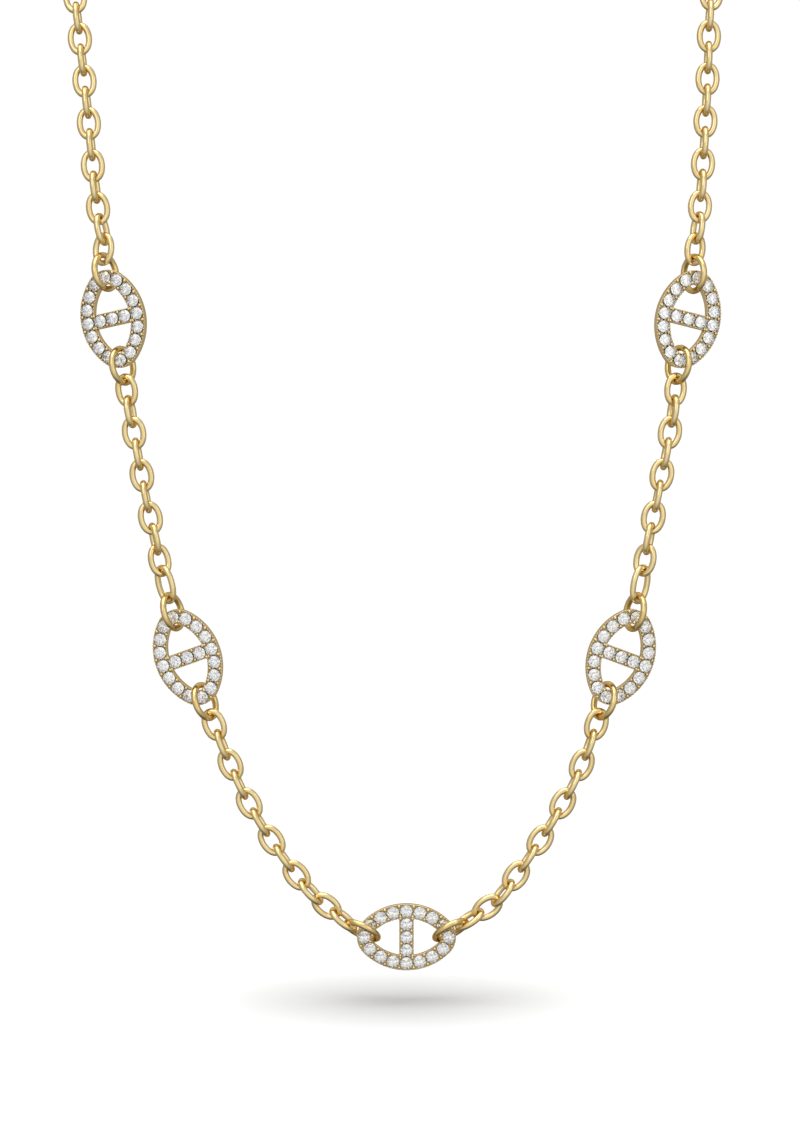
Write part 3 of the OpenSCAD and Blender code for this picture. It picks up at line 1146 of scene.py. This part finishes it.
@dataclass
class Station:
    """Shapes of one station, modelled once and copied to the five places.

    Attributes:
        length: Outer length of the oval.
        width: Outer width of the oval.
        metal: Section of the band.
        trough: Section of the bed that is sunk between the rims.
        lift: Height of the stones' girdle above the rims.
        seat_slope: Slope of the seats in degrees.
        seat_mouth: Radius of a seat at the height of the rims.
        seat_point: Radius of a seat at its bottom.
        seat_over: How far the seat's cutter reaches past the rims.
        seat_flare: How much wider it is there.
        seat_sides: Its sides.
        pit: Radii of the pits between the stones, at the bottom and at the top.
        pit_depth: Their depth.
        pit_stretch: How much longer than wide they are.
        pit_sides: Their sides.
        bead: Diameter of the small beads along the rims.
        bead_pitch: Distance from one rim bead to the next.
        bead_form: A bead's height as a share of its diameter, its foot as one of the radius.
        bead_under: How the lower half of a bead or grain is stretched.
        bead_rise: Height of the beads' middles above the rims.
        rim_inset: How far the beads' row lies inside the middle of the rim.
        grain: Diameter of the grains that hold two stones.
        grain_form: The form of a grain, as of a bead.
        grain_rise: Height of the grains' middles above the rims.
        grain_out: Distance of the grains from the band's middle line.
        corner: Place of the grain where the bar meets the oval.
        corner_room: Room that this grain keeps free of beads, as a share of its diameter.
        oval_stones: Stones round the oval.
        bar_stones: Stones on the bar.
        stone_turn: Turn from one stone to the next, in degrees.
        bar_stop: Share of the band's width by which the bar stops short of its middle line.
        weld: Distance under which two points of the cut frame are one.
        bevel_steps: Steps over a bevel.
        end_steps: Steps round the whole arc at an end of the oval.
        side_steps: Steps round the arc along a side.
        brink: How far under the rims the bed's painted shade ends.
        painted_bed_shade: How much shade is painted on the sunk bed.
        painted_rim_shade: How much shade is painted on the rims between their beads.
        soft_angle: Angle in degrees under which an edge looks smooth.
    """

    length: float = 13.8
    width: float = 9.3
    metal: Strip = Strip(2.0, -0.7, 0.7, 0.05, 0.35)
    trough: Strip = Strip(1.78, 0.55, 0.95)
    lift: float = 0.1
    seat_slope: float = 41.0
    seat_mouth: float = 0.875
    seat_point: float = 0.04
    seat_over: float = 0.3
    seat_flare: float = 1.02
    seat_sides: int = 32
    pit: tuple[float, float] = (0.08, 0.18)
    pit_depth: float = 0.8
    pit_stretch: float = 1.7
    pit_sides: int = 12
    bead: float = 0.27
    bead_pitch: float = 0.43
    bead_form: tuple[float, float] = (1.1, 0.4)
    bead_under: tuple[float, float, float] = (0.9, 0.9, 1.2)
    bead_rise: float = -0.02
    rim_inset: float = 0.03
    grain: float = 0.5
    grain_form: tuple[float, float] = (0.95, 0.9)
    grain_rise: float = 0.02
    grain_out: float = 0.7
    corner: tuple[float, float] = (0.84, 2.6)
    corner_room: float = 0.4
    oval_stones: int = 16
    bar_stones: int = 3
    stone_turn: float = 137.5
    bar_stop: float = 0.3
    weld: float = 0.002
    bevel_steps: int = 3
    end_steps: int = 16
    side_steps: int = 26
    brink: float = 0.03
    painted_bed_shade: float = 1.0
    painted_rim_shade: float = 0.75
    soft_angle: float = 28.0

    @property
    def line(self) -> Oval:
        """Middle line of the band."""
        return Oval((self.length - self.metal.width) / 2, (self.width - self.metal.width) / 2)

    def stone_places(self) -> list[Vector]:
        """Places the stones on the band's middle line.

        Returns:
            The middle of every stone.
        """
        places = [self.line.at(i / self.oval_stones)[0] for i in range(self.oval_stones)]
        places += [
            Vector((0, self.line.b * (2 * i / (self.bar_stones + 1) - 1), 0))
            for i in range(1, self.bar_stones + 1)
        ]
        return places

    def _section(self, strip: Strip, at: float) -> bpy.types.Object:
        """Makes a strip's section as an open loop of edges in the XZ plane.

        Args:
            strip: The strip.
            at: Its place along X.

        Returns:
            The loop.
        """
        Bench.clear()
        middle = (strip.low + strip.high) / 2
        bpy.ops.mesh.primitive_plane_add(
            size=1, rotation=(math.pi / 2, 0, 0), location=(at, 0, middle)
        )
        section = bpy.context.object
        section.scale = (strip.width, strip.high - strip.low, 1)
        Bench.set_down(section)
        for height, bevel in ((strip.high, strip.front_bevel), (strip.low, strip.back_bevel)):
            if bevel:
                with Bench.editing(
                    section, Pick.VERTS, lambda spot, facing: abs(spot.z - height) < NEAR
                ):
                    bpy.ops.mesh.bevel(offset=bevel, segments=self.bevel_steps, affect="VERTICES")
        with Bench.editing(section):
            bpy.ops.mesh.select_mode(type="FACE")
            bpy.ops.mesh.select_all(action="SELECT")
            bpy.ops.mesh.delete(type="ONLY_FACE")
        return section

    def _round(self, strip: Strip) -> bpy.types.Object:
        """Sweeps a strip round the oval's four arcs.

        Args:
            strip: The strip.

        Returns:
            The closed band.
        """
        band = self._section(strip, self.line.a)
        e = self.line.offset
        arcs = (
            ((e, 0, 0), 45, self.end_steps // 2),
            ((0, -e, 0), 90, self.side_steps),
            ((-e, 0, 0), 90, self.end_steps),
            ((0, e, 0), 90, self.side_steps),
            ((e, 0, 0), 45, self.end_steps // 2),
        )
        with Bench.editing(band):
            bpy.ops.mesh.select_mode(type="EDGE")
            bpy.ops.mesh.select_all(action="SELECT")
            for centre, turn, steps in arcs:
                bpy.ops.mesh.spin(
                    steps=steps, angle=math.radians(turn), center=centre, axis=(0, 0, -1)
                )
        Bench.outward(band)
        return band

    def _across(self, strip: Strip) -> bpy.types.Object:
        """Runs a strip along the bar, into the band at both ends.

        Args:
            strip: The strip.

        Returns:
            The closed bar.
        """
        bar = self._section(strip, 0)
        reach = self.line.b - self.metal.width * self.bar_stop
        with Bench.editing(bar):
            bpy.ops.mesh.select_mode(type="EDGE")
            bpy.ops.mesh.select_all(action="SELECT")
            bpy.ops.transform.translate(value=(0, -reach, 0))
            bpy.ops.mesh.extrude_region_move(TRANSFORM_OT_translate={"value": (0, 2 * reach, 0)})
        with Bench.editing(bar):
            bpy.ops.mesh.select_mode(type="EDGE")
            bpy.ops.mesh.select_all(action="DESELECT")
            bpy.ops.mesh.select_non_manifold()
            bpy.ops.mesh.edge_face_add()
        with Bench.editing(bar):
            bpy.ops.mesh.normals_make_consistent(inside=False)
        return bar

    def _seats(self) -> bpy.types.Object:
        """Makes the burr that cuts all seats, a cone with a bright-cut flare at its mouth.

        Returns:
            The joined cutters.
        """
        slope = math.tan(math.radians(self.seat_slope))
        depth = (self.seat_mouth - self.seat_point) * slope
        Bench.clear()
        bpy.ops.mesh.primitive_cone_add(
            vertices=self.seat_sides,
            radius1=self.seat_point,
            radius2=self.seat_mouth,
            depth=depth,
            location=(0, 0, self.metal.high - depth / 2),
        )
        burr = bpy.context.object
        Bench.set_down(burr)
        with Bench.editing(burr, Pick.FACES, lambda at, facing: facing.z > ALONG):
            bpy.ops.mesh.extrude_region_move(
                TRANSFORM_OT_translate={"value": (0, 0, self.seat_over)}
            )
            bpy.ops.transform.resize(value=(self.seat_flare, self.seat_flare, 1))
        burrs = [Bench.copied(burr, Matrix.Translation(place)) for place in self.stone_places()]
        bpy.data.objects.remove(burr)
        return Bench.joined(burrs, "seat_burrs")

    def _gaps(self) -> list[tuple[Vector, Vector]]:
        """Finds the gaps between neighbouring stones.

        Returns:
            The middle of each gap and the way across the band there.
        """
        gaps = [self.line.at((i + 0.5) / self.oval_stones) for i in range(self.oval_stones)]
        step = 2 * self.line.b / (self.bar_stones + 1)
        gaps += [
            (Vector((0, step * (i + 0.5 - (self.bar_stones + 1) / 2), 0)), Vector((1, 0, 0)))
            for i in range(self.bar_stones + 1)
        ]
        return gaps

    def _pits(self) -> bpy.types.Object:
        """Makes the drill that opens the dark pits between the stones.

        Returns:
            The joined cutters.
        """
        Bench.clear()
        bpy.ops.mesh.primitive_cone_add(
            vertices=self.pit_sides,
            radius1=self.pit[0],
            radius2=self.pit[1],
            depth=self.pit_depth,
            location=(0, 0, self.trough.low),
        )
        drill = bpy.context.object
        Bench.set_down(drill)
        with Bench.editing(drill):
            bpy.ops.transform.resize(value=(1, self.pit_stretch, 1))
        drills = []
        for place, across in self._gaps():
            turn = math.atan2(across.y, across.x) - math.pi / 2
            drills.append(
                Bench.copied(drill, Matrix.Translation(place) @ Matrix.Rotation(turn, 4, "Z"))
            )
        bpy.data.objects.remove(drill)
        return Bench.joined(drills, "pit_drills")

    def _mark_painted_shade(self, body: bpy.types.Object) -> None:
        """Marks the faces that get painted shade.

        Args:
            body: The frame: its sunk bed is marked for painted shade, and its rims between their
                beads.
        """
        half = self.trough.width / 2 + NEAR
        lowest, highest = self.trough.low - self.pit_depth, self.metal.high - self.brink
        # Painted shade: the sunk bed, and the rims between their beads, are marked to be darkened
        painted_shade = body.data.attributes.new("painted_shade", "FLOAT", "FACE")
        for face in body.data.polygons:
            spot = face.center
            round_oval = abs(self.line.outside(spot)) < half
            on_bar = abs(spot.x) < half and abs(spot.y) < self.line.b
            if (round_oval or on_bar) and lowest < spot.z < highest:
                painted_shade.data[face.index].value = self.painted_bed_shade
            elif face.normal.z > ALONG and spot.z > 0:
                painted_shade.data[face.index].value = self.painted_rim_shade

    def frame_shape(self) -> bpy.types.Object:
        """Builds the band with its bar, sunk bed, seats and pits.

        Returns:
            The frame, in millimetres.
        """
        body, bed = self._round(self.metal), self._round(self.trough)
        Bench.combine(body, self._across(self.metal), "UNION")
        Bench.combine(bed, self._across(self.trough), "UNION")
        for cutter in (bed, self._seats(), self._pits()):
            Bench.combine(body, cutter, "DIFFERENCE")
        with Bench.editing(body):
            bpy.ops.mesh.remove_doubles(threshold=self.weld)
            bpy.ops.mesh.quads_convert_to_tris()
        self._mark_painted_shade(body)
        Bench.hold(body)
        bpy.ops.object.shade_smooth_by_angle(angle=math.radians(self.soft_angle))
        return body

    def _rim_places(self) -> list[Vector]:
        """Places the small beads along the oval's rims and the bar's edges.

        Returns:
            The middle of every bead.
        """
        out = (self.metal.width + self.trough.width) / 4 - self.rim_inset
        room = self.grain * self.corner_room
        places = []
        for side in (1, -1):
            count = round(self.line.length(side * out) / self.bead_pitch / 4) * 4
            for i in range(count):
                place = self.line.at((i + 0.5) / count, side * out)[0]
                if side > 0 or abs(place.x) > self.corner[0] + room:
                    places.append(place)
        half = self.corner[1] - room
        count = round(2 * half / self.bead_pitch)
        places += [
            Vector((side * out, (2 * (i + 0.5) / count - 1) * half, 0))
            for i in range(count)
            for side in (-1, 1)
        ]
        return places

    def _grain_places(self) -> list[Vector]:
        """Places the grains that hold the stones, and those in the bar's corners.

        Returns:
            The middle of every grain.
        """
        places = []
        for index, (place, across) in enumerate(self._gaps()):
            if index in (self.oval_stones, self.oval_stones + self.bar_stones):
                continue
            places += [place + across * self.grain_out, place - across * self.grain_out]
        places += [
            Vector((x * self.corner[0], y * self.corner[1], 0)) for x in (-1, 1) for y in (-1, 1)
        ]
        return places

    def _bead(self, diameter: float, form: tuple[float, float]) -> bpy.types.Object:
        """Makes a bead with a flat foot.

        Args:
            diameter: Its diameter.
            form: Its height as a share of the diameter, and its foot as one of the radius.

        Returns:
            The bead.
        """
        tall, foot = form
        Bench.clear()
        bpy.ops.mesh.primitive_ico_sphere_add(subdivisions=2, radius=diameter / 2)
        bead = bpy.context.object
        for side, shares in ((1, (1, 1, tall)), (-1, self.bead_under)):
            with Bench.editing(bead, Pick.VERTS, lambda at, facing: side * at.z > TINY):
                bpy.ops.transform.resize(value=shares, center_override=(0, 0, 0))
        with Bench.editing(bead):
            bpy.ops.mesh.bisect(
                plane_co=(0, 0, -foot * diameter / 2),
                plane_no=(0, 0, -1),
                use_fill=True,
                clear_outer=True,
            )
        with Bench.editing(bead):
            bpy.ops.mesh.faces_shade_smooth()
        return bead

    def grain_shape(self) -> bpy.types.Object:
        """Raises the rim beads and the grains between the stones.

        Returns:
            All grains of a station, in millimetres.
        """
        rows = (
            (self._bead(self.bead, self.bead_form), self.bead_rise, self._rim_places()),
            (self._bead(self.grain, self.grain_form), self.grain_rise, self._grain_places()),
        )
        parts = []
        for bead, rise, places in rows:
            height = Vector((0, 0, self.metal.high + rise))
            parts += [Bench.copied(bead, Matrix.Translation(place + height)) for place in places]
            bpy.data.objects.remove(bead)
        return Bench.joined(parts, "station_grains")

    def stone_shape(self) -> bpy.types.Object:
        """Sets a cut stone on every seat, each turned its own way.

        Returns:
            All stones of a station, in millimetres.
        """
        stone = Brilliant().build()
        height = Vector((0, 0, self.metal.high + self.lift))
        stones = []
        for index, place in enumerate(self.stone_places()):
            turn = Matrix.Rotation(math.radians(self.stone_turn * index), 4, "Z")
            stones.append(Bench.copied(stone, Matrix.Translation(place + height) @ turn))
        bpy.data.objects.remove(stone)
        return Bench.joined(stones, "station_brilliants")


@dataclass
class Stations:
    """The five stations in their places.

    Attributes:
        names: Their names.
        station: The station that all of them are copies of.
    """

    names: tuple[str, ...] = (
        "middle_station", "left_lower_station", "right_lower_station",
        "left_upper_station", "right_upper_station",
    )
    station: Station = field(default_factory=Station)

    @staticmethod
    def _placing(name: str) -> Matrix:
        """Finds a station's place, its face towards the stones.

        Args:
            name: Name of the station.

        Returns:
            Its placing, in metres.
        """
        solid = Gauge.measure(Gauge.islands(f"{name}_frame")[0])
        stones = np.concatenate(Gauge.islands(f"{name}_stones")).reshape(-1, 3).mean(0)
        placing = solid.placing.copy()
        if (Vector(stones) - placing.translation).dot(placing.col[2].to_3d()) < 0:
            placing = placing @ Matrix.Rotation(math.pi, 4, "X")
        return placing @ Matrix.Scale(MM, 4)

    def build(self) -> list[bpy.types.Object]:
        """Builds, places and dresses all five stations.

        Returns:
            The pieces.
        """
        shapes = (
            (self.station.frame_shape(), "band", SETTING_GOLD, Slot.GOLD, ("frame",)),
            (self.station.grain_shape(), "grains", GRAIN_GOLD, Slot.GOLD, ()),
            (self.station.stone_shape(), "brilliants", CLEAR_STONE, Slot.STONE, ("stones",)),
        )
        pieces = []
        for name in self.names:
            placing = self._placing(name)
            for shape, ending, finish, slot, nodes in shapes:
                piece = Bench.copied(shape, placing, f"{name}_{ending}")
                replaced = tuple(f"{name}_{node}" for node in nodes)
                pieces.append(Piece.dress(piece, finish, slot, replaced))
        for shape, *_ in shapes:
            bpy.data.objects.remove(shape)
        return pieces


# Studio


@dataclass(frozen=True)
class Softbox:
    """Soft rectangular light.

    Attributes:
        name: Its name.
        place: Where it hangs, in metres.
        size: Its width and height, in metres.
        power: Its power in watts.
    """

    name: str
    place: tuple[float, float, float]
    size: tuple[float, float]
    power: float

    def hang(self, aim: Vector) -> None:
        """Hangs the light.

        Args:
            aim: Point that it looks at.
        """
        lamp = bpy.data.lights.new(self.name, "AREA")
        lamp.shape = "RECTANGLE"
        lamp.size, lamp.size_y = self.size
        lamp.energy = self.power
        box = bpy.data.objects.new(self.name, lamp)
        box.location = self.place
        box.rotation_euler = (aim - Vector(self.place)).to_track_quat("-Z", "Y").to_euler()
        bpy.context.scene.collection.objects.link(box)


@dataclass
class Studio:
    """White floor, soft lights and the camera.

    Attributes:
        aim: Point that the camera looks at, in metres.
        distance: Distance of the camera from it.
        pitch: How far the camera looks down, in degrees.
        lens: Focal length in millimetres.
        sensor: Width of the camera's sensor in millimetres.
        clip: Nearest and farthest distance that the camera sees.
        floor: Height of the floor, in metres.
        floor_size: Its side, in metres.
        painted_shadow_at: Middle of the soft shadow painted on the floor under the middle station.
        painted_shadow_reach: How far the painted shadow reaches, sideways and in depth.
        floor_tone: Tone of the floor.
        painted_shadow_depth: Tone of the floor in the middle of the painted shadow.
        softboxes: The key light and the fill light.
        light_aim: Point that they look at, in metres.
        ceiling_strength: Strength of the broad light overhead.
        ceiling_spread: How wide it looks from below, in degrees.
        ceiling_tilt: How far it leans to the back and to the side, in degrees.
        side_light: Strength of the room's light from either side.
        front_back_light: Its strength from the front and from behind.
        down_up_light: Its strength from below and from above.
        wall_blend: How far over its middle one side's light blends into the other's.
        fire_strength: Strength of the light that the stones send back.
        fire_scale: Scale of its patches.
        fire_range: Lowest value of the patches' noise that has a tone, and the range above it.
        fire: Tones that the stones send back, from the darkest patches to the brightest.
    """

    aim: tuple[float, float, float] = (0.0, -0.0205, -0.09)
    distance: float = 1.1
    pitch: float = 6.0
    lens: float = 251.9
    sensor: float = 36.0
    clip: tuple[float, float] = (0.05, 40.0)
    floor: float = -0.151
    floor_size: float = 24.0
    painted_shadow_at: tuple[float, float] = (0.0, -0.022)
    painted_shadow_reach: tuple[float, float] = (0.0245, 0.027)
    floor_tone: float = 0.96
    painted_shadow_depth: float = 0.635
    softboxes: tuple[Softbox, ...] = (
        Softbox("key_softbox", (-0.55, -0.9, 0.6), (0.7, 0.7), 1.15),
        Softbox("fill_softbox", (0.8, -0.8, 0.25), (0.4, 0.8), 0.7),
    )
    light_aim: tuple[float, float, float] = (0.0, -0.02, -0.07)
    ceiling_strength: float = 1.05
    ceiling_spread: float = 55.0
    ceiling_tilt: tuple[float, float] = (8.0, -6.0)
    side_light: float = 0.57
    front_back_light: tuple[float, float] = (1.25, 0.6)
    down_up_light: tuple[float, float] = (0.14, 1.08)
    wall_blend: float = 0.25
    fire_strength: float = 0.82
    fire_scale: float = 3.2
    fire_range: tuple[float, float] = (0.34, 0.32)
    fire: tuple[Colour, ...] = (
        (0.16, 0.13, 0.17, 1), (0.56, 0.44, 0.66, 1), (1.0, 0.98, 0.96, 1), (0.5, 0.5, 0.74, 1),
        (1.0, 0.95, 0.94, 1), (0.72, 0.5, 0.54, 1), (0.94, 0.96, 0.82, 1),
    )

    def _floor(self) -> None:
        """Lays the pale floor, which polished metal doesn't mirror, with a soft shadow painted on it.
        """
        Bench.clear()
        bpy.ops.mesh.primitive_plane_add(size=self.floor_size, location=(0, 0, self.floor))
        floor = bpy.context.object
        floor.name = "studio_floor"
        Bench.set_down(floor)
        # The floor's material paints a soft shadow under the middle station
        middle, reach = (*self.painted_shadow_at, self.floor), (*self.painted_shadow_reach, 1)
        paper = PaintedShadowFloor("floor_paper_painted_shadow", middle, reach, self.floor_tone, self.painted_shadow_depth)
        floor.data.materials.append(paper.material())
        floor.visible_glossy = False

    def _ceiling(self) -> None:
        """Hangs the broad, even light overhead."""
        lamp = bpy.data.lights.new("ceiling_light", "SUN")
        lamp.energy = self.ceiling_strength
        lamp.angle = math.radians(self.ceiling_spread)
        light = bpy.data.objects.new("ceiling_light", lamp)
        light.rotation_euler = (*(math.radians(turn) for turn in self.ceiling_tilt), 0)
        bpy.context.scene.collection.objects.link(light)

    def _room_light(self, graph: Graph, place: bpy.types.Node) -> bpy.types.Node:
        """Makes the soft light that polished metal mirrors, of its own strength on every side.

        Args:
            graph: The world's tree.
            place: Node that gives the direction that is looked in.

        Returns:
            The background node.
        """
        square = graph.add("ShaderNodeVectorMath", operation="MULTIPLY")
        parts = graph.add("ShaderNodeSeparateXYZ")
        walls = graph.add("ShaderNodeCombineXYZ", {"X": self.side_light})
        for axis, (low, high) in {"Y": self.front_back_light, "Z": self.down_up_light}.items():
            turn = graph.add(
                "ShaderNodeMapRange",
                {
                    "From Min": -self.wall_blend,
                    "From Max": self.wall_blend,
                    "To Min": low,
                    "To Max": high,
                },
                interpolation_type="SMOOTHSTEP",
            )
            graph.wire((parts, axis, turn, "Value"), (turn, "Result", walls, axis))
        total = graph.add("ShaderNodeVectorMath", operation="DOT_PRODUCT")
        light = graph.add("ShaderNodeBackground")
        graph.wire(
            (place, "Generated", square, 0),
            (place, "Generated", square, 1),
            (place, "Generated", parts, "Vector"),
            (square, "Vector", total, 0),
            (walls, "Vector", total, 1),
            (total, "Value", light, "Strength"),
        )
        return light

    def _fire(self, graph: Graph, place: bpy.types.Node) -> bpy.types.Node:
        """Makes the broken, faintly coloured light that the facets send back.

        Args:
            graph: The world's tree.
            place: Node that gives the direction that is looked in.

        Returns:
            The background node.
        """
        patches = graph.add("ShaderNodeTexNoise", {"Scale": self.fire_scale, "Detail": 1.0})
        tones = graph.ramp(self.fire, *self.fire_range)
        light = graph.add("ShaderNodeBackground", {"Strength": self.fire_strength})
        graph.wire(
            (place, "Generated", patches, "Vector"),
            (patches, "Fac", tones, "Fac"),
            (tones, "Color", light, "Color"),
        )
        return light

    def _world(self) -> None:
        """Gives the room its glow: white to the eye, shaded in metal, broken up in the stones."""
        world = bpy.data.worlds.new("studio_room")
        world.use_nodes = True
        graph = Graph(world.node_tree)
        path = graph.add("ShaderNodeLightPath")
        place = graph.add("ShaderNodeTexCoord")
        seen = graph.add("ShaderNodeBackground", {"Color": (1, 1, 1, 1)})
        inner = graph.add("ShaderNodeMixShader")
        outer = graph.add("ShaderNodeMixShader")
        out = graph.add("ShaderNodeOutputWorld")
        graph.wire(
            (path, "Is Transmission Ray", inner, 0),
            (self._room_light(graph, place), 0, inner, 1),
            (self._fire(graph, place), 0, inner, 2),
            (path, "Is Camera Ray", outer, 0),
            (inner, 0, outer, 1),
            (seen, 0, outer, 2),
            (outer, 0, out, "Surface"),
        )
        bpy.context.scene.world = world

    def _camera(self) -> None:
        """Sets up the camera."""
        data = bpy.data.cameras.new("portrait_camera")
        data.sensor_width = self.sensor
        data.lens = self.lens
        data.clip_start, data.clip_end = self.clip
        camera = bpy.data.objects.new("portrait_camera", data)
        down = math.radians(self.pitch)
        back = Vector((0, -math.cos(down), math.sin(down)))
        camera.location = Vector(self.aim) + back * self.distance
        camera.rotation_euler = (math.pi / 2 - down, 0, 0)
        bpy.context.scene.collection.objects.link(camera)
        bpy.context.scene.camera = camera

    def build(self) -> None:
        """Builds the studio."""
        self._floor()
        self._ceiling()
        for box in self.softboxes:
            box.hang(Vector(self.light_aim))
        self._world()
        self._camera()
        bpy.context.scene.view_settings.view_transform = "Standard"


def main() -> None:
    """Builds the necklace and its studio, in order."""
    logging.basicConfig(level=logging.INFO, format="%(name)s: %(message)s")
    Studio().build()
    made = Chain().build()
    made.append(Clasp().build())
    made += Stations().build()
    log.info("%d pieces made", len(made))


if __name__ == "__main__":
    main()
